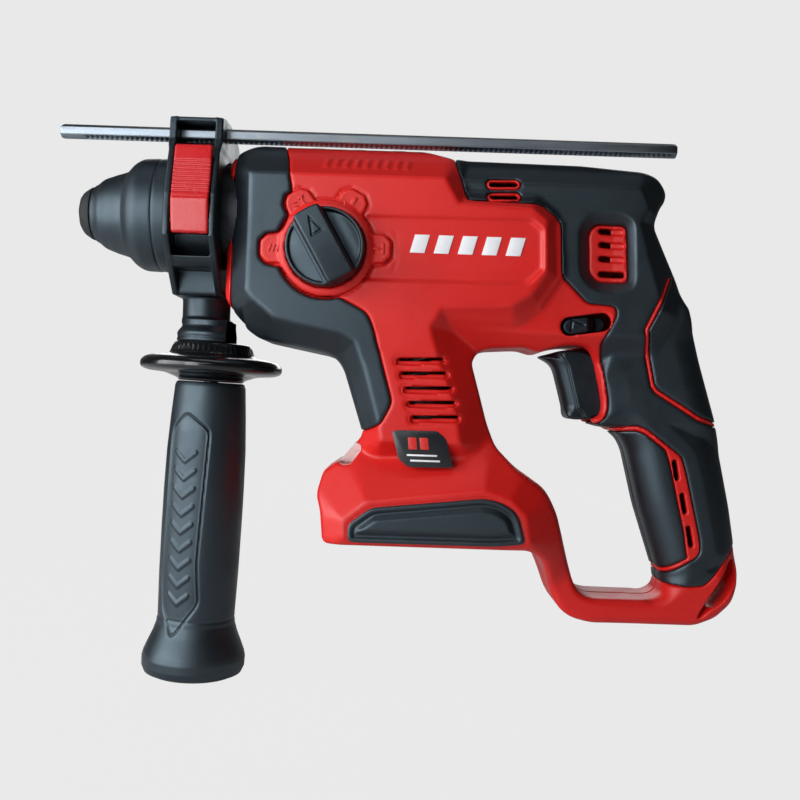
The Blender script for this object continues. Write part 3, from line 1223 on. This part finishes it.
# ------------------------------------------------------- clamp and depth stop
def clamp_bracket():
    """Two plates round the nose, joined by an arch above and a block below."""
    pitch = FINE_PITCH * 1.05
    middle = 55.75                       # x midway between the plates
    # y, z outline of the plates
    profile = [(-28.2, 37.5), (-27.8, 40.2), (-20, 41.7), (-8, 42.3), (4, 41.3), (14, 38.2),
               (24, 31.5), (31.5, 21.5), (36, 9), (37.2, -2), (36.8, -11.5), (33.5, -22),
               (15.5, -39), (-15.5, -39), (-30.5, -24.8), (-38.4, -14.9), (-38.8, -6),
               (-37.4, 4), (-33.2, 19), (-30.6, 26), (-29.0, 30)]
    origin, (x, y, z) = box_grid((41.5, 70.0), (-42.5, 42.5), (-62.5, 43.4), pitch)
    outline = sd_poly(y[0], z[0], profile)[None]
    nose = np.hypot(y, z)
    extra = 0.55 * step(24.0, 28.0, z)   # the plates thicken toward the top
    front = smax(np.maximum(44.2 - extra - x, x - 47.1), outline, 0.9)
    front = smax(front, 28.2 - nose, 0.6)
    rear = smax(np.maximum(64.4 - x, x - 67.3 - extra), outline, 0.9)
    rear = smax(rear, 25.5 - nose, 0.5)
    block = smax(band(x, middle, 9.75), outline, 0.8)
    arch = intersect(block, 33.6 - nose, 27.8 - z)
    # the arch is open on the rod side
    arch = soft_cut(arch, 0.6, 46.9 - x, x - 64.6, y + 9.5, z - 38.4, 20 - z)
    low = smax(np.maximum(block, 28.6 - nose), z + 22.9, 0.6)
    low = soft_cut(low, 0.8, band(x, middle, 8.5), band(z, -33.2, 5.4), y + 16.5)
    field = smin(smin(front, rear, 0.4), smin(arch, low, 0.8), 0.8)
    # guides for the rod
    guide = np.hypot(y - ROD_Y, z - ROD_Z) - 5.4
    guide_span = np.minimum(band(x, 45.4, 1.75), band(x, 66.1, 1.75))
    field = smin(field, np.maximum(guide, guide_span), 0.8)
    # narrow neck below, then the leaning collar over the flange
    neck = intersect(np.hypot(x - 57.5, y) - 11.1, z + 36.5, -50.5 - z)
    lean_x = (x - HANDLE_X) * LEAN_COS - (z - HANDLE_Z) * LEAN_SIN
    lean_z = HANDLE_Z + (x - HANDLE_X) * LEAN_SIN + (z - HANDLE_Z) * LEAN_COS
    bolt = np.hypot(lean_x, y)
    collar_radius = 14.9 + 2.3 * step(-52.0, -56.5, lean_z)
    collar = smax(bolt - collar_radius, np.maximum(lean_z + 49.6, -60.3 - lean_z), 0.9)
    collar = collar + 0.35 * bell(lean_z, -58.0, 0.5) * (bolt > 12)
    field = smin(smin(field, neck, 1.6), collar, 2.2)
    gusset = intersect(band(y, 0, 1.6), band(x, 56.0, 9.6), band(z, -42.0, 5.5))
    field = smin(field, gusset, 1.0)
    # hexagonal passage for the rod
    flats = [np.abs((y - ROD_Y) * math.cos(math.radians(q))
                    + (z - ROD_Z) * math.sin(math.radians(q))) for q in (0, 60, 120)]
    field = cut(field, intersect(*flats) - 3.12)
    # bolt hole, wider at the top
    field = cut(field, bolt - 3.55)
    field = cut(field, bolt - 5.6, band(lean_z, -27.0, 7.0))
    # windows for the lever
    between = np.maximum(47.15 - x, x - 64.9)
    field = cut(field, between, band(y, -36.5, 8.6), band(z, 6.35, 20.9))
    field = cut(field, between, band(y, -27.5, 2.6), band(z, 14.8, 12.9))
    field = cut(field, nose - 28.5, band(x, middle, 8.75))
    field = cut(field, np.hypot(y - LEVER_PIVOT[0], z - LEVER_PIVOT[1]) - 1.55)
    # curved wall low on the lever side
    wall = intersect(band(nose, 29.5, 0.8), band(x, middle, 9.3), z + 12.6, -24.5 - z, y)
    field = np.minimum(field, wall)
    from_field("clamp_bracket_frame", field, origin, pitch, "handle_clamp",
               BLACK, "clamp_bracket", pull=0.25)


def depth_lever():
    pitch = FINE_PITCH * 0.8
    # y, z section
    profile = [(-33.4, 26.6), (-38.8, 3.6), (-39.8, 0.4), (-37.4, -13.6), (-33.6, -13.6),
               (-33.6, 0), (-31.0, 10), (-29.6, 26.6)]
    origin, (x, y, z) = box_grid((46.8, 65.6), (-41.4, -28.4), (-15.2, 28.0), pitch)
    section = sd_poly(y[0], z[0], rounded(profile, 1, 0.8))[None]
    lever = smax(band(x, 56.0, 8.4), section, 1.1)
    face = -33.4 - (26.6 - z) * 0.235
    for k in range(9):                   # finger grooves
        groove = np.hypot((z - (18.6 - 1.75 * k)) * 1.1, (y - face) * 0.8) - 0.68
        lever = soft_cut(lever, 0.35, groove, band(x, 56.2, 8.2))
    lever = soft_cut(lever, 0.3, np.hypot(z - 2.2, y + 39.6) - 0.45)     # crease line
    lever = cut(lever, np.hypot(y - LEVER_PIVOT[0], z - LEVER_PIVOT[1]) - 1.58)
    from_field("depth_lever_pad", lever, origin, pitch, "depth_lever",
               RED_LEVER, "depth_lever", pull=0.25)


def depth_rod():
    """Hexagonal bar with a row of notches along its lower left flat."""
    corner_radius = 6.0 / math.sqrt(3)   # 6 mm across flats
    notch_start, notch_pitch, notch_depth = 3.0, 2.3, 0.55
    corners = [(corner_radius * math.cos(math.radians(90 + 60 * k)),
                corner_radius * math.sin(math.radians(90 + 60 * k))) for k in range(7)]
    section = []
    for (y1, z1), (y2, z2) in zip(corners[:-1], corners[1:]):
        for j in range(6):
            part = 0.08 + 0.84 * j / 5
            section.append((y1 + (y2 - y1) * part, z1 + (z2 - z1) * part))
    section = np.array(section)
    normal = np.array([-math.cos(math.radians(60)), -math.sin(math.radians(60))])
    tangent = np.array([-normal[1], normal[0]])

    stations = [-8.7, -8.2, -7.4]
    x = notch_start
    while x < 272.0:
        stations += [x, x + 0.55, x + 1.15, x + 1.75]
        x += notch_pitch
    stations += [274.2, 275.0, 275.2]

    points = []
    for x in stations:
        scale = 1.0                      # the ends are chamfered
        if x < -8.5 or x > 275.1:
            scale = 0.82
        elif x < -8.0 or x > 274.9:
            scale = 0.93
        depth = 0.0
        if 2.5 < x < 272.4:
            phase = ((x - notch_start) % notch_pitch) / notch_pitch
            depth = notch_depth * (1 - abs(phase - 0.5) * 2)
        for point in section:
            moved = point * scale
            if float(point @ normal) > 2.9 and abs(float(point @ tangent)) < 1.45:
                moved = moved - normal * depth
            points.append((x, ROD_Y + moved[0], ROD_Z + moved[1]))
    count, rows = len(section), len(stations)
    ring = np.arange(count)
    mesh = new_mesh("depth_rod_bar", points, ring_quads(rows, count)[:, [0, 3, 2, 1]],
                    [ring[::-1], (rows - 1) * count + ring])
    face_outward(mesh, sharp_degrees=24)
    add_object("depth_rod_bar", mesh, "depth_rod", ZINC, "depth_rod")


locking_sleeve()
dust_cap()
handle_flange()
side_grip()
clamp_bracket()
depth_lever()
depth_rod()


# --------------------------------------------- floor, light, camera, in metres
def studio_paper():
    """Matt paper that glows evenly to the camera."""
    s = Shader("studio_paper")
    tone = s.ramp(s.noise(scale=3.0), span=MIDDLE)
    s.finish({"Base Color": s.mix(tone, (0.80, 0.80, 0.80, 1), (0.82, 0.82, 0.82, 1)),
              "Roughness": 0.9, "Specular IOR Level": 0.0})
    glow = s.node("ShaderNodeEmission", {"Color": (0.823, 0.823, 0.823, 1), "Strength": 1.0})
    path = s.node("ShaderNodeLightPath")
    mixer = s.node("ShaderNodeMixShader")
    glow_share = s.times(path.outputs["Is Camera Ray"], 0.985)
    s.feed(mixer, {0: glow_share, 1: s.principled.outputs[0], 2: glow.outputs[0]})
    s.feed(s.tree.nodes["Material Output"], {"Surface": mixer.outputs[0]})
    return s.material


def studio():
    """One seamless sheet: floor curving up into a backdrop behind, on +Y."""
    bend_y, bend_radius = 1.2, 0.8
    profile = [(-2.6, 0.0)] + [(y, 0.0) for y in np.linspace(-2.5, bend_y, 12)]
    for i in range(1, 13):
        angle = math.pi / 2 * i / 12
        profile.append((bend_y + bend_radius * math.sin(angle),
                        bend_radius * (1 - math.cos(angle))))
    profile.append((2.0, 3.6))
    columns = np.linspace(-4.0, 4.3, 6)
    floor_z = float(CAD_LOW.z) - 0.0012
    bm = bmesh.new()
    rows = [[bm.verts.new((x, y, floor_z + z)) for x in columns] for y, z in profile]
    for lower, upper in zip(rows[:-1], rows[1:]):
        for i in range(len(columns) - 1):
            bm.faces.new((lower[i], lower[i + 1], upper[i + 1], upper[i]))
    mesh = smooth_mesh("studio_sweep", bm)
    mesh.materials.append(studio_paper())
    ob = bpy.data.objects.new("studio_sweep", mesh)
    bpy.context.scene.collection.objects.link(ob)


def area_light(name, place, target, size, watts, color=(1, 1, 1)):
    light = bpy.data.lights.new(name, "AREA")
    light.shape = "RECTANGLE"
    light.size, light.size_y = size
    light.energy = watts
    light.color = color
    ob = bpy.data.objects.new(name, light)
    ob.location = place
    toward = Vector(target) - Vector(place)
    ob.rotation_euler = toward.to_track_quat("-Z", "Y").to_euler()
    bpy.context.scene.collection.objects.link(ob)
    ob.visible_camera = False


def lights():
    centre = (0.15, 0.0, -0.08)
    daylight = (0.95, 0.98, 1.0)
    # a tall window wrapping round toward -X in five strips: degrees from -Y, watts
    strips = ((-15, 0.3), (-31, 1.3), (-47, 2.6), (-62, 3.0), (-76, 2.8))
    window_x, window_radius = 0.12, 0.92
    for k, (degrees, watts) in enumerate(strips):
        turn = math.radians(degrees)
        place = (window_x + window_radius * math.sin(turn), -window_radius * math.cos(turn), 0.08)
        area_light("window_%d" % k, place, target=(window_x, 0, -0.02), size=(0.255, 0.74),
                   watts=watts, color=daylight)
    area_light("near_left", place=(-0.17, -0.60, 0.02), target=(0.03, 0, -0.02),
               size=(0.24, 0.55), watts=1.7, color=daylight)
    area_light("front", place=(0.10, -1.40, 0.45), target=centre, size=(0.35, 0.35),
               watts=0.8, color=(1.0, 0.99, 0.98))
    area_light("top", place=(0.1, -0.30, 1.1), target=centre, size=(0.8, 0.3), watts=1.0,
               color=(0.97, 0.985, 1.0))
    area_light("back_soft", place=(0.2, 1.15, 0.45), target=centre, size=(1.1, 0.7),
               watts=5.0)


def world():
    """Bright to the camera, nearly dark as a light."""
    light_strength, seen_strength = 0.035, 0.815
    studio_world = bpy.data.worlds.new("studio_world")
    studio_world.use_nodes = True
    bpy.context.scene.world = studio_world
    tree = studio_world.node_tree
    background = tree.nodes["Background"]
    path = tree.nodes.new("ShaderNodeLightPath")
    strength = tree.nodes.new("ShaderNodeMapRange")
    strength.inputs["To Min"].default_value = light_strength
    strength.inputs["To Max"].default_value = seen_strength
    tree.links.new(path.outputs["Is Camera Ray"], strength.inputs["Value"])
    tree.links.new(strength.outputs["Result"], background.inputs["Strength"])
    background.inputs["Color"].default_value = (1, 1, 1, 1)


def camera():
    """Looks along +Y from the left side, rolled slightly."""
    distance, view_width = 0.460, 0.384  # the view is that wide on the centre plane
    place_x, place_z = 0.1515, -0.0844
    roll = math.radians(1.9)
    data = bpy.data.cameras.new("cam")
    data.sensor_width = 36.0
    data.lens = 36.0 * distance / view_width
    data.clip_start, data.clip_end = 0.01, 20.0
    ob = bpy.data.objects.new("cam", data)
    ob.matrix_world = Matrix(((math.cos(roll), -math.sin(roll), 0, place_x),
                              (0, 0, -1, -distance),
                              (math.sin(roll), math.cos(roll), 0, place_z),
                              (0, 0, 0, 1)))
    bpy.context.scene.collection.objects.link(ob)
    bpy.context.scene.camera = ob


studio()
lights()
world()
view = bpy.context.scene.view_settings
view.view_transform = "Standard"
view.look = "None"
view.exposure = 0.0
view.gamma = 1.0
camera()

bpy.context.view_layer.update()
